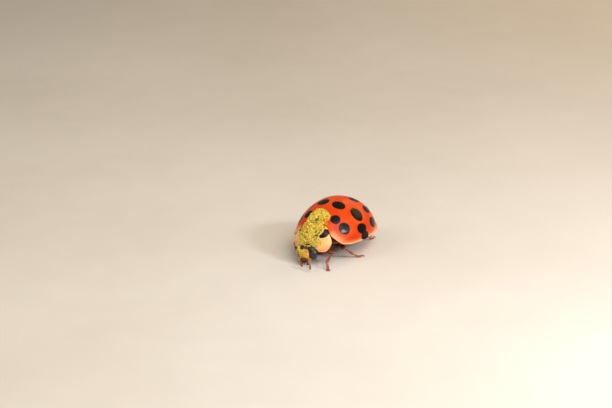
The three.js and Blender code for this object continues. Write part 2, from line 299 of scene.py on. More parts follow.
def tube(path, wide, thick=None, steps=16, sides=14, up=(0, 0, 1), hair=None, tone=(0.3, 0.6)):
    """A rounded limb along a path. wide and thick are stops of its half width and half thickness, and tone is
    "reach" at its ends."""
    centre = smooth_path(path, steps)
    along = unit(np.gradient(centre, axis=0))
    half = np.stack([stops(np.linspace(0, 1, steps), table) for table in (wide, thick or wide)], -1)
    caps, tips = [], []
    for where, sign in ((0, -1), (-1, 1)):
        turns = CAP_TURNS[::sign, None]
        out = sign * along[where] * half[where].min()
        caps.append((centre[where] + out * np.sin(turns), half[where] * np.cos(turns)))
        tips.append(centre[where] + out * (np.sin(CAP_TURNS[-1]) + 0.06))
    centre = np.concatenate([caps[0][0], centre, caps[1][0]])
    half = np.concatenate([caps[0][1], half, caps[1][1]])
    along = np.pad(along, ((len(CAP_TURNS),) * 2, (0, 0)), mode="edge")
    side = unit(np.cross(along, up))
    over = np.cross(side, along)
    turn = circle(sides)[:, None]
    wide, thick = half[:, None, :1], half[:, None, 1:]
    spread, rise = side[:, None] * np.cos(turn) * wide, over[:, None] * np.sin(turn) * thick
    rings = centre[:, None] + spread + rise
    if hair:
        grow(rings, unit(spread / wide**2 + rise / thick**2), along[:, None], *hair)
    reach = np.concatenate([np.repeat(np.linspace(*tone, len(centre)), sides), tone])
    return Form(np.concatenate([rings.reshape(-1, 3), tips]), wrapped(len(centre), sides), reach=reach)


def turned(points, tilt):
    c, s = math.cos(tilt), math.sin(tilt)
    return points @ np.array([[1, 0, 0], [0, c, s], [0, -s, c]])


def rounded(centre, radii, across=48, down=32, tilt=0.0, shape=None):
    """A closed rounded body. shape moves its points, given on the unit sphere, before they are stretched."""
    lat = np.radians(np.linspace(-90, 90, down + 2))[1:-1, None]
    sphere = np.concatenate([globe(lat, circle(across)).reshape(-1, 3), [(0, 0, -1), (0, 0, 1)]])
    local = (shape(sphere) if shape else sphere) * radii
    return turned(local, tilt) + centre, flipped(wrapped(down, across)), sphere


def plate(outer, inner, bulge):
    """A closed plate between two grids of points, with a rounded edge that stands out by bulge."""
    rows, columns = outer.shape[:2]
    count = rows * columns
    index = np.arange(count).reshape(rows, columns)
    loop = np.concatenate([index[0, :-1], index[:-1, -1], index[-1, :0:-1], index[:0:-1, 0]])
    inset = np.clip(index // columns, 1, rows - 2) * columns + np.clip(index % columns, 1, columns - 2)
    outer, inner = outer.reshape(-1, 3), inner.reshape(-1, 3)
    top, low = outer[loop], inner[loop]
    away = unit(top - outer[inset.ravel()[loop]])
    rims = []
    for turn in np.radians([30, 60, 90, 120, 150]):
        share = 0.5 - 0.5 * math.cos(turn)
        rims.append(top + (low - top) * share + away * bulge * math.sin(turn))
    faces = [quads(rows, columns), quads(rows, columns)[:, ::-1] + count]
    chain = [loop, *(2 * count + np.arange(len(rims) * len(loop)).reshape(len(rims), -1)), loop + count]
    for one, two in zip(chain, chain[1:]):
        faces.append(packed(one, two, np.roll(two, -1), np.roll(one, -1)))
    return np.concatenate([outer, inner, *rims]), faces


# ---- Finishes ----
def shade(code):
    """A colour as sRGB hex, for a socket."""
    parts = [int(code[i:i + 2], 16) / 255 for i in (0, 2, 4)]
    return (*[p / 12.92 if p <= 0.04045 else ((p + 0.055) / 1.055) ** 2.4 for p in parts], 1)


class Finish:
    """A material worked out from the place on the surface, in millimetres."""

    def __init__(self, name, **fixed):
        self.material = bpy.data.materials.new(name)
        self.material.use_nodes = True
        self.tree = self.material.node_tree
        self.surface = self.tree.nodes["Principled BSDF"]
        for key, value in fixed.items():
            self.surface.inputs[key.replace("_", " ")].default_value = value
        place = self.node("ShaderNodeTexCoord").outputs["Object"]
        scale = self.node("ShaderNodeVectorMath", {0: place, "Scale": 1 / MM}, operation="SCALE")
        self.place = scale.outputs[0]

    def node(self, kind, inputs=None, **settings):
        made = self.tree.nodes.new(kind)
        for key, value in settings.items():
            setattr(made, key, value)
        for key, value in (inputs or {}).items():
            if isinstance(value, bpy.types.NodeSocket):
                self.tree.links.new(value, made.inputs[key])
            else:
                made.inputs[key].default_value = value
        return made

    def noise(self, scale, detail=3.0, roughness=0.5):
        inputs = {"Vector": self.place, "Scale": scale, "Detail": detail, "Roughness": roughness}
        return self.node("ShaderNodeTexNoise", inputs).outputs[0]

    def cells(self, scale, low, high):
        """1 but for a hollow in the middle of each cell."""
        cells = self.node("ShaderNodeTexVoronoi", {"Vector": self.place, "Scale": scale})
        return self.fit(cells.outputs["Distance"], low, high)

    def value(self, name):
        return self.node("ShaderNodeAttribute", attribute_name=name).outputs["Fac"]

    def math(self, operation, one, two=0.0, three=0.0):
        return self.node("ShaderNodeMath", {0: one, 1: two, 2: three}, operation=operation).outputs[0]

    def wavy(self, name, depth, *noise):
        """A named number, and noise of that depth about 0."""
        wave = self.math("MULTIPLY_ADD", self.noise(*noise), depth, -depth / 2)
        return self.math("ADD", self.value(name), wave)

    def fit(self, value, low, high, to_low=0.0, to_high=1.0):
        inputs = {"Value": value, "From Min": low, "From Max": high, "To Min": to_low, "To Max": to_high}
        return self.node("ShaderNodeMapRange", inputs, interpolation_type="SMOOTHSTEP").outputs[0]

    def vary(self, low, high, *noise):
        return self.fit(self.noise(*noise), 0.3, 0.7, low, high)

    def ramp(self, factor, *colours):
        made = self.node("ShaderNodeValToRGB", {"Fac": factor})
        while len(made.color_ramp.elements) < len(colours):
            made.color_ramp.elements.new(0.5)
        for element, (at, code) in zip(made.color_ramp.elements, colours):
            element.position = at
            element.color = shade(code)
        return made.outputs[0]

    def mix(self, factor, one, two, kind="MIX"):
        one, two = [shade(c) if isinstance(c, str) else c for c in (one, two)]
        made = self.node("ShaderNodeMix", {0: factor, 6: one, 7: two}, data_type="RGBA", blend_type=kind)
        return made.outputs[2]

    def bump(self, height, depth, under=None):
        inputs = {"Height": height, "Distance": depth * MM, "Strength": 1.0}
        if under is not None:
            inputs["Normal"] = under
        return self.node("ShaderNodeBump", inputs).outputs[0]

    def cuticle(self, pits, net, rough):
        """Roughness and normal: pits (scale, low, high, depth) under a net (scale, depth)."""
        fine = self.noise(net[0], 3, 0.6)
        normal = self.bump(fine, net[1], self.bump(self.cells(*pits[:3]), pits[3]))
        return self.fit(fine, 0.3, 0.7, *rough), normal

    def done(self, colour, roughness, normal=None):
        for key, value in (("Base Color", colour), ("Roughness", roughness), ("Normal", normal)):
            if value is not None:
                self.tree.links.new(value, self.surface.inputs[key])
        return self.material


def elytra_finish():
    f = Finish("elytra", IOR=1.4, Specular_IOR_Level=0.2,
               Coat_Weight=0.18, Coat_Roughness=0.06, Coat_IOR=1.42)
    spot = f.fit(f.wavy("spot", 0.1, 1.7, 3, 0.45), -0.022, 0.02)
    red = f.ramp(f.noise(0.9, 4), (0.3, "c83103"), (0.5, "d74205"), (0.7, "e2520a"))
    # paler orange towards the rim and cream on the rim and underside: partly the translucent margin's own
    # colour, partly painted reflection
    edge = f.wavy("edge", 0.24, 1.1, 2)
    red = f.mix(f.fit(edge, 0.27, 0.03), red, "e2743a")
    # painted highlight: a peach sheen painted over the shoulder, near the front rim
    painted_shoulder_sheen = f.math("MULTIPLY", f.fit(edge, 0.66, 0.08), f.value("painted_shoulder_sheen"))
    red = f.mix(f.math("MULTIPLY", painted_shoulder_sheen, 0.95), red, "f2a872")
    red = f.mix(f.fit(f.value("edge"), 0.05, -0.02), red, "f0b486")
    mottle = f.ramp(f.noise(9, 5, 0.6), (0.35, "d8d8d8"), (0.65, "ffffff"))
    red = f.mix(0.4, red, mottle, "MULTIPLY")
    black = f.ramp(f.noise(2.5), (0.3, "040303"), (0.7, "0c0806"))
    rough, normal = f.cuticle((12.5, 0.1, 0.34, 0.0035), (34, 0.0011), (0.28, 0.4))
    return f.done(f.mix(spot, black, red), rough, f.bump(f.noise(0.9, 2), 0.05, normal))


def pronotum_finish():
    f = Finish("pronotum", IOR=1.42, Specular_IOR_Level=0.25, Coat_Weight=0.12, Coat_Roughness=0.16,
               Subsurface_Weight=0.12, Subsurface_Radius=(0.0004, 0.0002, 0.0001), Subsurface_Scale=0.4)
    mark = f.fit(f.wavy("mark", 0.12, 4.5), -0.03, 0.03)
    cream = f.ramp(f.noise(2.2, 4), (0.3, "efba72"), (0.6, "f3c98a"), (0.8, "f7d8a4"))
    # painted shade: the cream turns deeper orange lower down on the shield
    cream = f.mix(f.fit(f.value("height"), 0.45, -0.35), cream, "eea368")
    cream = f.mix(f.fit(f.value("edge"), 0.05, 0.0), cream, "d98a4e")
    black = f.ramp(f.noise(3), (0.3, "060404"), (0.7, "120b08"))
    return f.done(f.mix(mark, black, cream), *f.cuticle((15, 0.08, 0.3, 0.003), (40, 0.0012), (0.3, 0.44)))


def shell_finish(name, colours, roughness, coat, pit_scale, pit_depth, patch):
    """A plain cuticle in soft patches, paler where "reach" is high, with pits and a fine net."""
    f = Finish(name, IOR=1.5, Coat_Weight=coat, Coat_Roughness=0.2)
    patches = f.math("MULTIPLY_ADD", f.noise(patch, 4, 0.55), 0.8, -0.2)
    pale = f.math("MULTIPLY_ADD", f.value("reach"), 0.75, patches)
    colour = f.ramp(pale, *zip((0.12, 0.45, 0.9), colours))
    pits = (pit_scale, 0.1, 0.35, pit_depth)
    return f.done(colour, *f.cuticle(pits, (55, 0.0012), (roughness - 0.06, roughness + 0.08)))


def head_finish():
    f = Finish("head", IOR=1.5, Coat_Weight=0.2, Coat_Roughness=0.25)
    mark = f.fit(f.wavy("mark", 0.08, 9), -0.02, 0.02)
    cream = f.ramp(f.noise(5, 4), (0.3, "e88a12"), (0.48, "fcaa26"), (0.66, "fdcc6c"))
    cream = f.mix(f.fit(f.noise(7, 2, 0.4), 0.48, 0.34, 0, 0.85), cream, "84480f")
    colour = f.mix(mark, "120b08", cream)
    return f.done(colour, *f.cuticle((16, 0.1, 0.32, 0.004), (45, 0.0014), (0.32, 0.46)))


def eye_finish():
    f = Finish("eye", IOR=1.56, Coat_Weight=0.5, Coat_Roughness=0.12)
    colour = f.ramp(f.noise(6), (0.3, "070507"), (0.55, "141016"), (0.75, "241c26"))
    return f.done(colour, f.vary(0.2, 0.32, 30, 2))


def pollen_finish():
    f = Finish("pollen", IOR=1.45, Subsurface_Weight=0.1, Subsurface_Radius=(0.00005, 0.00004, 0.00002))
    tone = f.wavy("tone", 0.9, 2.6)
    colour = f.ramp(tone, (0.0, "6a5412"), (0.22, "ac8e24"), (0.45, "deba32"), (0.7, "f4d94e"),
                    (1.0, "fbee90"))
    colour = f.mix(f.fit(f.noise(3.2, 2), 0.5, 0.66, 0, 0.6), colour, "bdb85c")
    return f.done(colour, f.vary(0.5, 0.75, 120, 3, 0.6), f.bump(f.cells(150, 0.1, 0.4), 0.002))


def hair_finish():
    f = Finish("setae", IOR=1.55)
    colour = f.ramp(f.noise(4), (0.3, "b98a4a"), (0.6, "e0bd7e"), (0.8, "f0d9a6"))
    return f.done(colour, f.vary(0.35, 0.5, 25, 2))


def floor_finish():
    f = Finish("floor", IOR=1.4)
    colour = f.ramp(f.noise(0.05, 4), (0.3, "dad6cd"), (0.7, "e2dfd7"))
    return f.done(colour, f.vary(0.6, 0.75, 0.4))


ELYTRA, PRONOTUM, HEAD, EYE = elytra_finish(), pronotum_finish(), head_finish(), eye_finish()
POLLEN, HAIR = pollen_finish(), hair_finish()
# Colours from dark to pale, roughness, coat, the pits' scale and depth, and the scale of the patches.
SCUTELLUM = shell_finish("scutellum", ("070505", "0e0908", "1c120d"), 0.3, 0.4, 18, 0.003, 2.5)
LEG = shell_finish("leg", ("260803", "701e09", "aa4216"), 0.36, 0.3, 26, 0.003, 4)
FEELER = shell_finish("feeler", ("6e1a05", "b5571c", "d98c40"), 0.36, 0.25, 40, 0.002, 6)
MOUTH = shell_finish("mouth", ("1a0a05", "3e1c0c", "7a4018"), 0.38, 0.25, 24, 0.003, 6)
UNDERSIDE = shell_finish("underside", ("420e07", "7c200d", "ac4218"), 0.42, 0.2, 12, 0.005, 2)
ABDOMEN = shell_finish("abdomen", ("2a0f08", "63250f", "a04a1e"), 0.42, 0.2, 14, 0.005, 1.2)


# ---- Wing cases ----
def outline_reach(angle):
    across = np.abs(np.cos(angle)) / HALF_WIDTH
    along = np.abs(np.sin(angle)) / np.where(np.sin(angle) < 0, FRONT_REACH, REAR_REACH)
    return (across**PLAN_POWER + along**PLAN_POWER) ** (-1 / PLAN_POWER)


def dome(x, y):
    share = np.hypot(x, y) / outline_reach(np.arctan2(y, x))
    return packed(x, y, RISE * np.clip(1 - share**2, 0, 1) ** (ARCH_POWER / 2))


def dome_normal(x, y):
    return surface_normal(dome, x, y, 0.001)


def spot_distance(points, spots):
    """How far each point lies outside the nearest spot, below zero inside one."""
    nearest = np.full(len(points), FAR)
    for x, y, length, width, turn in spots:
        centre, up = dome(x, y), dome_normal(x, y)
        line = np.array([math.sin(math.radians(turn)), math.cos(math.radians(turn)), 0])
        line = unit(line - up * (line @ up))
        away = points - centre
        u, v = away @ line, away @ np.cross(up, line)
        stretch = np.clip(np.linalg.norm(away, axis=1) / np.maximum(np.hypot(u, v), 1e-6), 1, 1.6)
        ratio = np.hypot(u / length, v / width) * stretch
        nearest = np.minimum(nearest, (ratio - 1) * min(length, width))
    return nearest


def front_edge(x):
    line = BASE_Y - BASE_BOW * x * x - BULGE * hump((np.abs(x) - BULGE_X) / BULGE_WIDTH)
    notch = BASE_Y + (SCUTELLUM_LENGTH + 0.02) * (1 - np.abs(x) / (SCUTELLUM_HALF + 0.02))
    return np.maximum(line, notch)


def front_distance(angle):
    """How far the front edge lies from the middle in each direction, or far off where it doesn't cross."""
    low, high = np.zeros_like(angle), np.full_like(angle, 8.0)
    for _ in range(40):
        middle = (low + high) / 2
        inside = middle * np.sin(angle) > front_edge(middle * np.cos(angle))
        low, high = np.where(inside, middle, low), np.where(inside, high, middle)
    return low


# Outwards and up from the dome's edge: a gutter, a turned-up rim and the underside, and then the same for
# the rolled front edge.
RIM_PROFILE = np.array([
    (0.006, -0.022), (0.018, -0.04), (0.036, -0.05), (0.055, -0.046), (0.072, -0.03), (0.084, -0.018),
    (0.094, -0.018), (0.1, -0.03), (0.098, -0.052), (0.084, -0.074), (0.04, -0.088), (-0.06, -0.098),
    (-0.2, -0.118), (-0.34, -0.13), (-0.43, -0.12), (-0.44, -0.09), (-0.3, -0.05), (-0.16, -0.01),
])
FRONT_PROFILE = np.array([
    (0.008, -0.003), (0.016, -0.008), (0.024, -0.015), (0.031, -0.024), (0.037, -0.035), (0.041, -0.047),
    (0.043, -0.06), (0.042, -0.073), (0.038, -0.086), (0.03, -0.098), (0.015, -0.11), (-0.01, -0.122),
    (-0.05, -0.14), (-0.1, -0.165), (-0.15, -0.19), (-0.16, -0.18), (-0.15, -0.15), (-0.13, -0.12),
])
STEEPEST = math.radians(87.9)
ELYTRON_COLUMNS, ELYTRON_ROWS, RIM_ROWS_SEEN = 171, 84, 11
# the share of the dome's height at its underside, and how sharply the front edge turns into the rim
UNDERSIDE_SHARE, CORNER_POWER = 0.962, 24


def elytron(spots):
    columns, rows = ELYTRON_COLUMNS, ELYTRON_ROWS
    s = np.linspace(-1, 1, columns)
    angle = np.radians(90) * (0.35 * s + 0.65 * np.sin(s * np.pi / 2))
    reach = outline_reach(angle)
    meet = (front_distance(angle) / reach) ** -CORNER_POWER
    front = meet / (1 + meet)
    last = np.minimum(np.arcsin(np.clip((1 + meet) ** (-1 / CORNER_POWER), 0, 1)), STEEPEST)
    t = np.linspace(0, 1, rows + 1)[1:]
    share = np.sin(t[:, None] * last)
    x, y = share * reach * np.cos(angle), share * reach * np.sin(angle)
    outer = dome(x, y)
    # the shoulder's swelling, the cross fold near the tip, and the slope into the seam
    outer[..., 2] += 0.05 * hump((x - 1.75) / 0.3, (y + 2.3) / 0.34)
    fold = hump((share - 0.86 - 0.03 * np.cos(3 * angle)) / 0.018)
    fold *= ease(angle, math.radians(48), math.radians(60)) * ease(angle, math.radians(87), math.radians(80))
    outer += fold[..., None] * 0.03 * dome_normal(x, y)
    outer[..., 2] -= 0.035 * np.exp(-x / 0.03)
    # the rim climbs a little towards the shoulder
    outer[..., 2] += 0.12 * hump((y + 2.62) / 0.4) * ease(share, 0.965, 1)
    along = np.gradient(outer[-1], axis=0)
    away = unit(np.cross(along, [0, 0, 1]))
    profile = RIM_PROFILE[:, None] * (1 - front)[:, None] + FRONT_PROFILE[:, None] * front[:, None]
    rim = outer[-1] + away * profile[..., :1] + np.array([0, 0, 1]) * profile[..., 1:]
    sheet = np.concatenate([outer, rim, outer[::-1] * UNDERSIDE_SHARE])
    # the seam is a narrow cleft that closes towards the inside
    total = len(sheet)
    gap = np.where(np.arange(total) < total - rows, SEAM * 0.35, 0.001)
    sheet[..., 0] = np.maximum(sheet[..., 0], 0) + gap[:, None]
    pole = [(gap[0], 0, RISE - 0.035), (gap[-1], 0, RISE * UNDERSIDE_SHARE - 0.035)]
    points = np.concatenate([sheet.reshape(-1, 3), pole])
    index = np.arange(total * columns).reshape(total, columns)
    top, low = total * columns, total * columns + 1
    faces = [quads(total, columns)]
    faces += [packed(top, index[0, :-1], index[0, 1:]), packed(low, index[-1, 1:], index[-1, :-1])]
    # a wall joins both sheets along the seam, with one many-sided face across the rim's end
    for column, flip in ((0, 1), (-1, -1)):
        out_line = np.concatenate([[top], index[:rows, column]])
        in_line = np.concatenate([[low], index[::-1, column][:rows]])
        wall = packed(out_line[:-1], in_line[:-1], in_line[1:], out_line[1:])
        lip = index[None, rows - 1:total - rows + 1, column]
        faces += [wall[:, ::flip], lip[:, ::-flip]]
    spot = np.full(len(points), FAR)
    seen = (rows + RIM_ROWS_SEEN) * columns
    spot[:seen] = spot_distance(points[:seen], spots)
    step = np.linalg.norm(np.diff(outer, axis=0), axis=-1)
    inside = np.concatenate([np.cumsum(step[::-1], axis=0)[::-1], np.zeros((1, columns))])
    beyond = np.concatenate([np.linspace(0.01, 0.1, len(RIM_PROFILE)), np.full(rows, 0.1)])
    edge = np.concatenate([inside.ravel(), -np.repeat(beyond, columns), [3, 0]])
    # the pale margin, partly its own colour and partly painted reflection, fades out along the front edge,
    # towards the scutellum
    edge += 0.6 * ease(points[:, 0], 1.45, 1.1) * (points[:, 1] < -2.4)
    # where the painted highlight on the shoulder lies
    painted_shoulder_sheen = hump((points[:, 0] - 1.7) / 0.6, (points[:, 1] + 2.75) / 0.45)
    return Form(points, faces, spot=spot, edge=edge, painted_shoulder_sheen=painted_shoulder_sheen)


skin("elytron_left", elytron(SPOTS["left"]), ELYTRA, sharp=50)
skin("elytron_right", elytron(SPOTS["right"]).mirrored(), ELYTRA, sharp=50)


def scutellum():
    rows, columns = 26, 31
    y = np.linspace(BASE_Y - 0.04, BASE_Y + SCUTELLUM_LENGTH - 0.02, rows)[:, None]
    half = np.maximum(SCUTELLUM_HALF * (1 - (y - BASE_Y) / SCUTELLUM_LENGTH), 0.012)
    x = np.linspace(-1, 1, columns) * half
    top = dome(x, y)
    top[..., 2] += 0.014 + 0.01 * (1 - (x / half) ** 2)
    points, faces = plate(top, top - [0, 0, 0.16], 0.012)
    return Form(points, flipped(faces), reach=0.2)


skin("scutellum", scutellum(), SCUTELLUM)


# ---- Pronotum ----
def shield_points(across, along):
    """across runs from -1 to 1 and along from 0, at the back edge, to 1, at the front edge."""
    along = np.clip(along, 0, 1)
    t = along[..., None]
    crown = (1 - t) ** 2 * SHIELD_CROWN[0] + 2 * t * (1 - t) * SHIELD_CROWN[1] + t**2 * SHIELD_CROWN[2]
    side = spline(SHIELD_SIDE, along * 3)
    a = np.abs(across) * SHIELD_STEEPEST
    drop = (1 - np.cos(a)) / (1 - math.cos(SHIELD_STEEPEST))
    x = np.sign(across) * side[..., 0] * np.sin(a) / math.sin(SHIELD_STEEPEST)
    y = crown[..., 0] + (side[..., 1] - crown[..., 0]) * drop
    z = crown[..., 1] + (side[..., 2] - crown[..., 1]) * drop
    pinch = hump((np.abs(across) - PINCH_ACROSS) / PINCH_WIDTH) * ease(along, PINCH_ALONG, 0)
    return packed(x, y - PINCH * pinch, z)


def shield_normal(across, along):
    step = 0.002
    return -surface_normal(shield_points, across, np.clip(along, step, 1 - step), step)


# The black mark, one side of its M: across, along, half the stroke's width.
MARK = [
    [(0.0, 0.02, 0.2), (0.16, 0.2, 0.2), (0.22, 0.46, 0.22), (0.2, 0.74, 0.16)],
    [(0.5, 0.0, 0.22), (0.56, 0.16, 0.23), (0.52, 0.38, 0.22), (0.42, 0.52, 0.19)],
    [(0.0, 0.1, 0.2), (0.0, 0.5, 0.2)],
    [(0.0, 0.03, 0.16), (0.3, 0.02, 0.16), (0.6, 0.0, 0.16)],
]


def mark_distance(points):
    """How far each point lies outside the black mark."""
    nearest = np.full(len(points), FAR)
    for stroke in MARK:
        across, along, halves = smooth_path(stroke, 24).T
        for middle, half in zip(shield_points(across, along), halves):
            for sign in (1, -1):
                gap = np.linalg.norm(points - middle * [sign, 1, 1], axis=1) - half
                nearest = np.minimum(nearest, gap)
    return nearest


def pronotum():
    rows, columns = 64, 129
    along, across = np.meshgrid(np.linspace(0, 1, rows), np.linspace(-1, 1, columns), indexing="ij")
    outer = shield_points(across, along)
    normal = shield_normal(np.clip(across, -0.998, 0.998), along)
    side = np.abs(across)
    gutter = -0.03 * hump((side - 0.93) / 0.03)
    bead = 0.012 * ease(side, 0.95, 0.99)
    front_line = -0.012 * hump((along - 0.955) / 0.02)
    hollow = -0.03 * hump((side - 0.72) / 0.12, (along - 0.75) / 0.2)
    outer += normal * (gutter + bead + front_line + hollow)[..., None]
    inner = outer + unit(SHIELD_HEART - outer) * (0.06 + 0.05 * (1 - side))[..., None]
    points, faces = plate(outer, inner, 0.028)
    edge = np.zeros(len(points))
    edge[:rows * columns] = 1.6 * np.minimum(1 - side, np.minimum(along, 1 - along)).ravel()
    return Form(points, faces, mark=mark_distance(points), edge=edge, height=points[:, 2])


skin("pronotum", pronotum(), PRONOTUM)


# ---- Head ----
def head_shape(sphere):
    """A wide, flat-faced capsule, hollowed for the eyes and drawn in towards the mouth."""
    x, y, z = sphere.T
    shaped = np.sign(sphere) * np.abs(sphere) ** np.array([0.86, 0.84, 0.92])
    face = np.clip(-y, 0, 1)
    shaped[:, 0] *= 1 - 0.32 * ease(-z, 0.1, 0.95)
    shaped[:, 1] += 0.07 * face**2 * hump(x / 0.5, (z - 0.1) / 0.5)
    shaped[:, 1] += 0.08 * face * hump((np.abs(x) - 0.5) / 0.1, (z + 0.3) / 0.12)
    shaped[:, 1] += 0.045 * face * hump((z + 0.62 - 0.25 * x**2) / 0.035)
    return shaped


def head():
    points, faces, sphere = rounded(HEAD_CENTRE, HEAD_RADII, 96, 72, HEAD_TILT, head_shape)
    folded = points * np.where(points[:, :1] < 0, [-1, 1, 1], 1)
    eye_gap = (np.linalg.norm((folded - EYE_CENTRE) / (EYE_RADII + [0.2, 0.1, 0.1]), axis=1) - 1) * 0.35
    crown = -0.03 - 0.45 * np.clip(folded[:, 0] - 0.1, 0, None) - points[:, 2]
    nape = (-0.1 - sphere[:, 1]) * HEAD_RADII[1]
    cheek = 0.52 - 0.42 * np.clip(points[:, 2] + 0.75, 0, None) - folded[:, 0]
    return Form(points, faces, mark=np.min([eye_gap, crown, nape, cheek], axis=0))


FACETS = 560


def eye():
    """A coarse oval of small domed facets."""
    points, faces, sphere = rounded(EYE_CENTRE, EYE_RADII, 150, 108, HEAD_TILT)
    k = np.arange(FACETS)
    height = 1 - (2 * k + 1) / FACETS
    ring = np.sqrt(1 - height**2)
    turn = math.pi * (3 - math.sqrt(5)) * k
    facets = np.stack([ring * np.cos(turn), ring * np.sin(turn), height])
    apart = np.arccos(np.clip(np.max(unit(sphere) @ facets, axis=1), -1, 1))
    lift = -0.02 * np.clip(apart / math.sqrt(math.pi / FACETS), 0, 1.3) ** 2
    return Form(points + (points - EYE_CENTRE) * lift[:, None], faces)


skin("head", head(), HEAD)
skin("eye_left", eye(), EYE)
skin("eye_right", eye().mirrored(), EYE)

# Jaw, lobe of the lip and its short palp, on one side: line, half widths, steps, sides and hair.
MOUTH_LIMBS = [
    ([(0.27, -4.4, -0.78), (0.26, -4.46, -0.94), (0.13, -4.5, -1.03), (0.01, -4.5, -1.04)],
     [(0, 0.1), (0.4, 0.085), (0.8, 0.045), (1, 0.012)], 18, 12, None),
    ([(0.2, -4.26, -0.86), (0.16, -4.36, -1.0), (0.1, -4.42, -1.07)],
     [(0, 0.14), (0.6, 0.1), (1, 0.05)], 12, 12, (260, 0.05)),
    ([(0.09, -4.4, -1.06), (0.12, -4.5, -1.12), (0.12, -4.58, -1.16)],
     [(0, 0.03), (0.5, 0.036), (1, 0.022)], 10, 10, None),
]
CHIN = [(-0.2, -4.24, -0.9), (0, -4.26, -0.98), (0.2, -4.24, -0.9)]
MOUTH_STRETCH, MOUTH_SHIFT = np.array([0.82, 1, 1]), np.array([-0.12, -0.1, -0.03])


def mouth():
    """Labrum, two mandibles, and the lip with its short palps behind them."""
    first_bed = len(BEDS)
    u, v = np.linspace(-1, 1, 31), np.linspace(0, 1, 18)[:, None]
    x = u * (0.3 - 0.05 * v)
    y = -4.5 - 0.03 * v + 0.1 * u**2
    z = -0.72 - 0.17 * v - 0.03 * u**2 + 0.02 * hump(u / 0.2) * v
    top = packed(x, y, z)
    points, faces = plate(top, top + [0, 0.09, 0.01], 0.015)
    made = Form(points, flipped(faces), reach=0.7)
    for sign in (1, -1):
        for path, wide, steps, sides, hair in MOUTH_LIMBS:
            made.join(tube(np.array(path) * [sign, 1, 1], wide, steps=steps, sides=sides, hair=hair))
    made.join(tube(CHIN, [(0, 0.12), (0.5, 0.16), (1, 0.12)], steps=14, up=(0, 1, 0)))
    made.points = made.points * MOUTH_STRETCH + MOUTH_SHIFT
    BEDS[first_bed:] = [(rings * MOUTH_STRETCH + MOUTH_SHIFT, *rest) for rings, *rest in BEDS[first_bed:]]
    return made


skin("labrum", mouth(), MOUTH)

# Each joint of a feeler: its share of the length at its end, and its half width at the base and near the tip.
ANTENNA_JOINTS = [
    (0.13, 0.05, 0.07), (0.2, 0.036, 0.05), (0.29, 0.026, 0.036), (0.37, 0.024, 0.034),
    (0.44, 0.024, 0.034), (0.51, 0.024, 0.034), (0.58, 0.025, 0.036), (0.64, 0.028, 0.042),
    (0.76, 0.036, 0.07), (0.88, 0.05, 0.086), (1.0, 0.06, 0.07),
]
PALP_JOINTS = [(0.2, 0.04, 0.055), (0.5, 0.034, 0.055), (0.66, 0.034, 0.05), (1.0, 0.04, 0.115)]


FEELER_STEPS = 119


def feeler(path, joints, flatness=0.85):
    """A row of joints along a path. The last three are dark, as the antenna's club is."""
    made = Form()
    fine = smooth_path(path, FEELER_STEPS + 1)
    start = 0.0
    for number, (end, base, tip) in enumerate(joints):
        tone = (0.2, 0.05) if number >= len(joints) - 3 else (0.6, 0.75)
        part = fine[int(start * FEELER_STEPS):int(end * FEELER_STEPS) + 1]
        wide = [(0, base), (0.25, base * 0.5 + tip * 0.5), (0.75, tip), (1, tip * 0.8)]
        thick = [(s, w * flatness) for s, w in wide]
        steps = part[::max(1, len(part) // 6)]
        made.join(tube(steps, wide, thick, steps=10, sides=12, hair=(220, 0.045), tone=tone))
        start = end
    return made


for side, sign in SIDES.items():
    skin(f"antenna_{side}", feeler(np.array(ANTENNAE[side]) * [sign, 1, 1], ANTENNA_JOINTS), FEELER)
    skin(f"palp_{side}", feeler(np.array(PALPS[side]) * [sign, 1, 1], PALP_JOINTS, 0.6), MOUTH)


# ---- Trunk, seen from below and between the legs ----
def prothorax_shape(sphere):
    """Swollen, with a keel between the two sockets of the front legs."""
    x, y, z = sphere.T
    shaped = np.sign(sphere) * np.abs(sphere) ** 0.9
    low = np.clip(-z, 0, 1)
    shaped[:, 2] -= 0.07 * low * hump(x / 0.12)
    shaped[:, 2] += 0.12 * low * hump((np.abs(x) - 0.42) / 0.2, y / 0.4)
    return shaped


def prothorax():
    """The prothorax, with the neck that closes the body between the pronotum and the wing cases."""
    points, faces, _ = rounded(PROTHORAX_CENTRE, PROTHORAX_RADII * 0.97, 72, 48, shape=prothorax_shape)
    made = Form(points, faces, reach=0.2)
    points, faces, _ = rounded(NECK_CENTRE, NECK_RADII, 72, 48)
    points[:, 1] = np.minimum(points[:, 1], BASE_Y - 0.006)
    made.add(points, faces, reach=0.1)
    return made


skin("prothorax", prothorax(), UNDERSIDE)

# Where the belly's plates end, from the front, and how far each stands proud of the next.
THORAX_PLATES = [-2.74, -1.86, -0.78, 0.46]
ABDOMEN_PLATES = [0.53, 1.22, 1.62, 1.98, 2.3, 2.56]
PLATE_STEP = 0.035
TRUNK_SIDES = 72


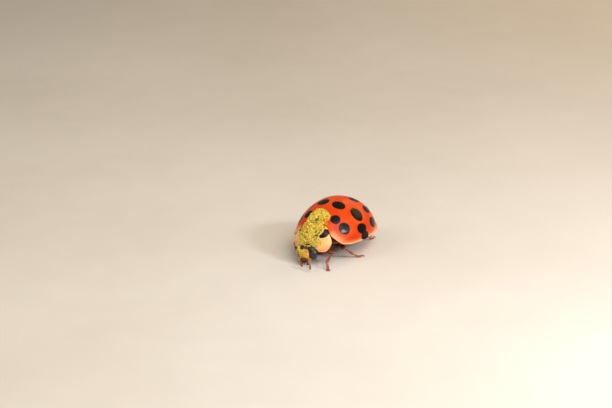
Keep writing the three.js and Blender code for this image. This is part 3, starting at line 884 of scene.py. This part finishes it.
def trunk(plates, round_end):
    """The belly's plates and the body over them. Each plate widens towards its rear edge."""
    t = np.linspace(0, 1, 9)[:, None]
    y = np.concatenate([a + (b - a) * (0.001 + 0.998 * t) for a, b in zip(plates, plates[1:])])
    step = np.tile(PLATE_STEP * (t - 0.5), (len(plates) - 1, 1))
    half, reach_front, reach_rear = [TRUNK_SHARE * r for r in (HALF_WIDTH, FRONT_REACH, REAR_REACH)]
    along = (np.abs(y) / np.where(y < 0, reach_front, reach_rear)) ** PLAN_POWER
    turn = circle(TRUNK_SIDES)
    x = np.cos(turn) * (half * np.maximum(1 - along, 0) ** (1 / PLAN_POWER) + step)
    share = (np.abs(x / half) ** PLAN_POWER + along) ** (1 / PLAN_POWER)
    arch = np.clip(1 - share**2, 0, 1) ** (ARCH_POWER / 2)
    low = -(BELLY + step) * arch - 0.03 * np.clip(step, 0, 1)
    z = np.where(np.sin(turn) >= 0, TRUNK_TOP * arch * 0.9, low)
    rings = packed(x, y, z)
    ends = [rings[0].mean(0), rings[-1].mean(0) + [0, 0.03 if round_end else 0, 0]]
    reach = np.concatenate([ease(np.abs(x.ravel()), 0.9, 1.9), [0, 1]])
    outward = unit(rings - rings.mean(1, keepdims=True) * [1, 1, 0])
    belly = slice(TRUNK_SIDES // 2 + 2, TRUNK_SIDES - 2)
    grow(rings[:, belly], outward[:, belly], [0.0, 1, 0], 60, 0.07)
    return Form(np.concatenate([rings.reshape(-1, 3), ends]), wrapped(len(rings), TRUNK_SIDES), reach=reach)


skin("thorax", trunk(THORAX_PLATES, False), UNDERSIDE, sharp=50)
skin("abdomen", trunk(ABDOMEN_PLATES, True), ABDOMEN, sharp=50)


# ---- Legs ----
FOOT_HEIGHT = 0.085


def foot(ankle, toe):
    """Two lobed, padded joints, the slender claw joint between their lobes, and a pair of toothed claws."""
    made = Form()
    length = np.linalg.norm((toe - ankle)[:2])
    ahead = (toe - ankle) * [1, 1, 0] / length
    axes = np.array([ahead, np.cross(ahead, [0, 0, 1]), [0, 0, 1]])
    drop = FLOOR + FOOT_HEIGHT - ankle[2]
    one, two, tip = length * np.array([(0.3, 0, 0), (0.6, 0, 0), (0.96, 0, 0)])
    one[2], two[2], tip[2] = 0.65 * drop, drop, drop + 0.03

    def limb(path, wide, thick=None, **more):
        """A limb along steps from the ankle: ahead, aside and up."""
        made.join(tube(ankle + np.array(path) @ axes, wide, thick, **more))

    pads = {"steps": 12, "hair": (500, 0.06), "tone": (0.7, 0.9)}
    limb([one * 0, one / 2 + [0, 0, 0.01], one], [(0, 0.05), (0.6, 0.075), (1, 0.09)],
         [(0, 0.05), (0.6, 0.06), (1, 0.06)], **pads)
    limb([one + [0, 0, 0.01], (one + two) / 2 - [0, 0, 0.005], two],
         [(0, 0.05), (0.5, 0.09), (1, 0.1)], [(0, 0.045), (0.5, 0.055), (1, 0.05)], **pads)
    for sign in (1, -1):
        for joint, reach, half in ((one, 0.14, 0.055), (two, 0.17, 0.06)):
            lobe = [(0, 0.035, 0), (reach * 0.6, 0.07, -0.012), (reach, 0.075, -0.018)]
            limb(joint + np.array(lobe) * [1, sign, 1],
                 [(0, half), (0.6, half), (1, half * 0.7)], [(0, 0.045), (0.6, 0.035), (1, 0.02)],
                 steps=9, sides=12, hair=(900, 0.05), tone=(0.8, 0.9))
    limb([two + [-0.04, 0, 0.02], (two + tip) / 2 + [0, 0, 0.045], tip],
         [(0, 0.03), (0.5, 0.034), (0.9, 0.046), (1, 0.042)],
         steps=14, sides=12, hair=(200, 0.05), tone=(0.8, 0.9))
    for sign in (1, -1):
        claw = np.array([(0, 0.022, 0), (0.055, 0.052, -0.006), (0.1, 0.072, -0.05), (0.105, 0.077, -0.108)])
        limb(tip + claw * [1, sign, 1], [(0, 0.022), (0.4, 0.02), (0.8, 0.011), (1, 0.004)],
             steps=14, sides=8, tone=(0.7, 0.1))
        tooth = np.array([(0.03, 0.04, 0), (0.045, 0.052, -0.04), (0.05, 0.052, -0.07)])
        limb(tip + tooth * [1, sign, 1], [(0, 0.02), (0.6, 0.012), (1, 0.004)], steps=8, sides=8)
    return made


def leg(pair, side):
    sign = SIDES[side]
    hip, knee, ankle, toe = np.array(LEGS[pair, side]) * [sign, 1, 1]
    fore = 0.8 if pair == "front" else 1.0

    def part(name, *forms):
        skin(f"{pair}_{side}_{name}", Form().join(*forms), LEG)

    part("coxa", tube(hip + [(-0.34 * sign, 0, 0.05), (-0.1 * sign, 0, 0), (0.1 * sign, 0, -0.02)],
                      [(0, 0.16), (0.4, 0.25 * fore), (0.8, 0.2 * fore), (1, 0.14)],
                      [(0, 0.14), (0.4, 0.22), (0.8, 0.18), (1, 0.13)],
                      steps=18, sides=20, hair=(120, 0.06), tone=(0.0, 0.05)))

    reach = knee - hip
    bow = [0, 0, 0.12 if pair == "front" else 0.06]
    trochanter = tube(hip - [0, 0, 0.03] + reach * [[0], [0.1], [0.24]], [(0, 0.09), (0.5, 0.13), (1, 0.1)],
                      steps=12, sides=16, hair=(120, 0.05), tone=(0.0, 0.1))
    thigh = tube([hip + reach * 0.14, hip + reach * 0.6 + bow, knee],
                 [(0, 0.11), (0.35, 0.2), (0.75, 0.2), (0.93, 0.145), (1, 0.11)],
                 [(0, 0.09), (0.35, 0.15), (0.75, 0.16), (0.93, 0.12), (1, 0.1)],
                 steps=28, sides=20, hair=(160, 0.055), tone=(0.0, 0.35))
    part("femur", trochanter, thigh)

    shank = ankle - knee
    bend = unit(np.cross(shank, np.cross(reach, shank))) * -0.035
    shin = tube([knee, knee + shank * 0.1, knee + shank * 0.55 + bend, ankle],
                [(0, 0.075), (0.12, 0.066), (0.5, 0.088), (0.85, 0.115), (1, 0.1)],
                [(0, 0.07), (0.12, 0.06), (0.5, 0.075), (0.85, 0.09), (1, 0.08)],
                steps=26, sides=16, hair=(420, 0.06), tone=(0.35, 0.8))
    inward, ahead = unit(np.cross(shank, [0, 0, 1])), unit(shank)
    spurs = []
    for turn in (0.05, -0.05):
        path = [ankle + inward * turn, ankle + ahead * 0.09 + inward * turn * 1.4 - [0, 0, 0.02],
                ankle + ahead * 0.15 + inward * turn * 1.5 - [0, 0, 0.03]]
        spurs.append(tube(path, [(0, 0.018), (0.5, 0.012), (1, 0.003)], steps=8, sides=8, tone=(0.6, 0.3)))
    part("tibia", shin, *spurs)
    part("tarsus", foot(ankle, toe))


for pair, side in LEGS:
    leg(pair, side)


# ---- Hairs ----
HAIR_HALF, HAIR_DEPTH = 0.0035, 0.006


def hairs():
    made, roots = Form(), []
    per_row = math.ceil(math.sqrt(len(BEDS)))
    for number, (grid, outward, along, expected, length) in enumerate(BEDS):
        one, two, area = cell_sides(grid)
        count = rng.poisson(expected)
        if count == 0:
            continue
        picked = rng.choice(area.size, count, p=(area / area.sum()).ravel())
        i, j = np.unravel_index(picked, area.shape)
        u, v = rng.random((2, count, 1))
        out = outward[i, j]
        root = grid[i, j] + one[i, j] * u + two[i, j] * v - out * HAIR_DEPTH
        lean = unit(out * 0.75 + along[i, j] * 0.65 + rng.normal(0, 0.16, (count, 3)))
        size = length * (0.6 + 0.6 * rng.random((count, 1)))
        tip = root + lean * size + out * size * 0.1
        tip[:, 2] = np.maximum(tip[:, 2], FLOOR + 0.004)
        side = unit(np.cross(lean, out + 1e-3))
        back = unit(np.cross(lean, side))
        corners = [root + (side * c + back * s) * HAIR_HALF for c, s in ((1, 0), (-0.5, 0.87), (-0.5, -0.87))]
        base = np.arange(count)[:, None] * 4
        faces = np.concatenate([base + face for face in ([0, 1, 3], [1, 2, 3], [2, 0, 3], [0, 2, 1])])
        made.add(np.stack([*corners, tip], 1), [faces])
        # each bed has a square of the unwrap to itself
        cell = np.array([number % per_row, number // per_row]) / per_row
        place = (packed(i, j) + np.concatenate([u, v], 1)) / area.shape * 0.9 / per_row + cell
        spread = np.array([(0, 0), (0.003, 0), (0, 0.003), (0.0015, 0.0015)])
        roots.append((place[:, None] + spread).reshape(-1, 2))
    return made, np.concatenate(roots)


hair_form, hair_roots = hairs()
piece("setae", hair_form, HAIR, roots=hair_roots)


# ---- Pollen ----
def ball():
    made = bmesh.new()
    bmesh.ops.create_icosphere(made, subdivisions=2, radius=1)
    points = np.array([v.co for v in made.verts])
    faces = np.array([[v.index for v in f.verts] for f in made.faces])
    made.free()
    return points, faces


BALL_POINTS, BALL_FACES = ball()


def spun(points):
    """Clouds of points, each turned at random."""
    q = unit(rng.normal(size=(len(points), 1, 4)))
    lift = 2 * np.cross(q[..., 1:], points)
    return points + q[..., :1] * lift + np.cross(q[..., 1:], lift)


def grains(centres, radii, places, tones):
    """Small rough balls at the centres. Each keeps its root's place on the skin's own unwrap."""
    count, size = len(centres), len(BALL_POINTS)
    shape = np.clip(1 + rng.normal(0, 0.2, (count, 1, 3)), 0.6, 1.5)
    rough = 1 + rng.normal(0, 0.08, (count, size, 1))
    points = spun(BALL_POINTS * shape * rough * radii[:, None, None]) + centres[:, None]
    faces = (BALL_FACES + np.arange(count)[:, None, None] * size).reshape(-1, 3)
    roots = places[:, None] + BALL_POINTS[:, :2] * 0.0015
    return Form(points, [faces], tone=np.repeat(tones, size)), roots.reshape(-1, 2)


def patchy(points, scale, seed):
    shift = Vector((seed * 7.3, seed * 3.1, seed * 5.7))
    return np.array([noise.fractal(Vector(p) * scale + shift, 0.6, 2.0, 3) for p in points])


def dust(name, count, sample, cover, thick=0.11, size=0.027):
    """Sows count grains over a surface. sample gives points, normals, places on its unwrap and the numbers
    that cover takes. cover gives 0 to 1."""
    centres, places, total = [], [], 0
    while total < count:
        point, normal, place, share = sample(count)
        lumps = patchy(point, 2.4, 1.7)
        gaps = patchy(point, 7.0, 5.2)
        clumped = 0.12 + 0.88 * ease(gaps + 0.6 * lumps, -0.25, 0.05)
        keep = rng.random(len(point)) < cover(point, share) * clumped
        point, normal = point[keep], normal[keep]
        pile = thick * np.clip(0.45 + lumps[keep] * 1.1, 0.05, 1.2) * cover(point, share[keep])
        lift = size * 0.5 + pile * rng.random(len(point)) ** 1.3
        centres.append(point + normal * lift[:, None])
        places.append(place[keep])
        total += len(point)
    centres, places = np.concatenate(centres)[:count], np.concatenate(places)[:count]
    radii = size * np.clip(rng.lognormal(-0.05, 0.32, count), 0.45, 1.75)
    form, roots = grains(centres, radii, places, np.clip(rng.normal(0.55, 0.2, count), 0, 1))
    piece(name, form, POLLEN, roots=roots)


def on_surface(surface, normal, low, high, spread, shift):
    """Places between two corners of a surface. spread and shift turn its two numbers into its unwrap's."""
    def sample(count):
        share = packed(*[rng.uniform(a, b, count) for a, b in zip(low, high)])
        return surface(*share.T), normal(*share.T), share / spread + shift, share
    return sample


def on_shield(low, high):
    return on_surface(shield_points, shield_normal, (low, 0.0), (high, 1.0), (2, 1), (0.5, 0))


def shield_cover(point, share):
    across, along = share.T
    main = ease(across, 0.4, 0.34)
    rear = ease(across, 0.66, 0.6) * ease(along + 1.24 * (across - 0.34), 0.34, 0.26)
    front = ease(across, 0.66, 0.42) * ease(along, 0.58, 0.7) * 0.5
    right_limit = -0.04 * ease(along, 0.85, 0.95)
    dusted = 0.05 + 0.95 * ease(across - right_limit, -0.57, -0.42)
    return np.clip(np.maximum(main, np.maximum(rear, front)), 0, 1) * dusted


def on_dome(low, high):
    return on_surface(dome, dome_normal, (low, -3.0), (high, -1.6), 8, 0.5)


def dome_cover(point, share):
    x, y = share.T
    across = np.where(x > 0, x / 0.86, -x / 0.9)
    back = -1.76 - 0.42 * np.abs(across) ** np.where(x > 0, 1.6, 3)
    thin = 0.9 * ease(x, 0.36, 0.5) * ease(y, -2.38, -2.5) * ease(y, -2.86, -2.76)
    inside = ease(y, back + 0.08, back - 0.14) * ease(across, 1.05, 0.8) * (1 - thin)
    return inside * np.where(y > front_edge(x) - 0.02, 0.95, 0.25 * (np.abs(x) < SCUTELLUM_HALF))


def on_ball(local, radii, centre):
    """Points and outward normals on a part of the head."""
    return turned(local, HEAD_TILT) + centre, unit(turned(local / radii**2, HEAD_TILT))


def on_head(count):
    lat, lon = rng.uniform(-0.75, 1.1, count), rng.uniform(math.pi, 2 * math.pi, count)
    sphere = globe(lat, lon)
    place = packed(lon / (2 * math.pi), lat / math.pi + 0.5)
    return *on_ball(head_shape(sphere) * HEAD_RADII, HEAD_RADII, HEAD_CENTRE), place, sphere


def head_cover(point, share):
    x, _, z = share.T
    face = ease(x, 0.42, 0.25) * ease(x, -1.0, -0.85) * ease(z, -0.7, -0.5)
    below_band = ease(point[:, 2] + 0.45 * np.clip(np.abs(point[:, 0]) - 0.1, 0, 0.2), -0.04, -0.09)
    right_brow = ease(x, -0.2, -0.5) * ease(z, -0.4, -0.15)
    crown = ease(point[:, 2], 0.1, 0.18) * ease(x, 0.5, 0.3) * 0.22
    return np.maximum(face * below_band * (0.13 + 0.67 * right_brow), crown)


def on_right_eye(count):
    sphere = unit(rng.normal(size=(count, 3)))
    x, y, z = sphere.T
    place = packed(np.arctan2(y, x) / (2 * math.pi), z / 2) + 0.5
    return *on_ball(sphere * EYE_RADII, EYE_RADII, EYE_CENTRE * [-1, 1, 1]), place, sphere


def eye_cover(point, share):
    _, y, z = share.T
    return ease(-y, -0.1, 0.35) * (0.2 + 0.7 * ease(z, -0.1, 0.3)) * ease(z, -0.85, -0.6)


dust("pollen_pronotum_left", 2300, on_shield(-0.05, 0.7), shield_cover)
dust("pollen_pronotum_right", 1900, on_shield(-0.9, -0.05), shield_cover)
dust("pollen_elytron_left", 1900, on_dome(0.02, 1.1), dome_cover)
dust("pollen_elytron_right", 1500, on_dome(-0.9, -0.02), dome_cover)
dust("pollen_head", 560, on_head, head_cover, thick=0.05, size=0.024)
dust("pollen_eye", 300, on_right_eye, eye_cover, thick=0.03, size=0.023)


# ---- Floor, light and camera ----
FLOOR_HALF = 400.0
LIT_PLACE = (0, -0.8, 0.6)


def floor():
    half = FLOOR_HALF
    corners = [(-half, -half, FLOOR), (half, -half, FLOOR), (half, half, FLOOR), (-half, half, FLOOR)]
    mesh = bpy.data.meshes.new("floor")
    mesh.from_pydata(world(corners).tolist(), [], [(0, 1, 2, 3)])
    mesh.materials.append(floor_finish())
    placed("floor", mesh)


def direction(azimuth, elevation):
    """From the beetle towards a light or the camera. azimuth 0 is in front of it and 90 at its left side."""
    return Vector(globe(math.radians(elevation), math.radians(azimuth - 90)))


def lamp(name, azimuth, elevation, distance, size, power, colour):
    """A soft rectangular light, aimed at the beetle."""
    data = bpy.data.lights.new(name, "AREA")
    data.shape = "RECTANGLE"
    data.size, data.size_y = size[0] * MM, size[1] * MM
    data.energy = power
    data.color = shade(colour)[:3]
    made = placed(name, data)
    back = direction(azimuth, elevation)
    made.location = Vector(world(LIT_PLACE)) + back * distance * MM
    made.rotation_mode = "QUATERNION"
    made.rotation_quaternion = back.to_track_quat("Z", "Y")


floor()
lamp("key", 68, 50, 100, (84, 84), 0.08, "fff6ea")
lamp("window", 88, 29, 80, (17, 11), 0.028, "f6f2ff")
lamp("fill", -42, 36, 120, (70, 60), 0.036, "ffeed6")
lamp("back", 172, 30, 130, (110, 50), 0.036, "ffd08c")

world_light = bpy.data.worlds.new("studio")
world_light.use_nodes = True
background = world_light.node_tree.nodes["Background"].inputs
background["Color"].default_value = shade("fff8ee")
background["Strength"].default_value = 0.26
bpy.context.scene.world = world_light
bpy.context.scene.view_settings.view_transform = "Standard"

# The camera looks from the beetle's left front, a little above and tilted, through a long macro lens.
VIEW_AZIMUTH, VIEW_ELEVATION, VIEW_ROLL = 33.203, 20.0, math.radians(-1.83)
VIEW_DISTANCE, VIEW_RIGHT, VIEW_UP = 150.0, -2.344, 1.992
SENSOR, LENS = 36.0, 115.147


def camera():
    data = bpy.data.cameras.new("camera")
    data.sensor_width, data.lens = SENSOR, LENS
    data.clip_start, data.clip_end = 0.005, 5
    back = np.array(direction(VIEW_AZIMUTH, VIEW_ELEVATION))
    level = unit(np.cross([0, 0, 1], back))
    right = level * math.cos(VIEW_ROLL) + np.cross(back, level) * math.sin(VIEW_ROLL)
    up = np.cross(back, right)
    place = world(VIEW_DISTANCE * back + VIEW_RIGHT * right + VIEW_UP * up)
    made = placed("camera", data)
    made.matrix_world = Matrix(packed(right, up, back, place)).to_4x4()
    bpy.context.scene.camera = made


camera()
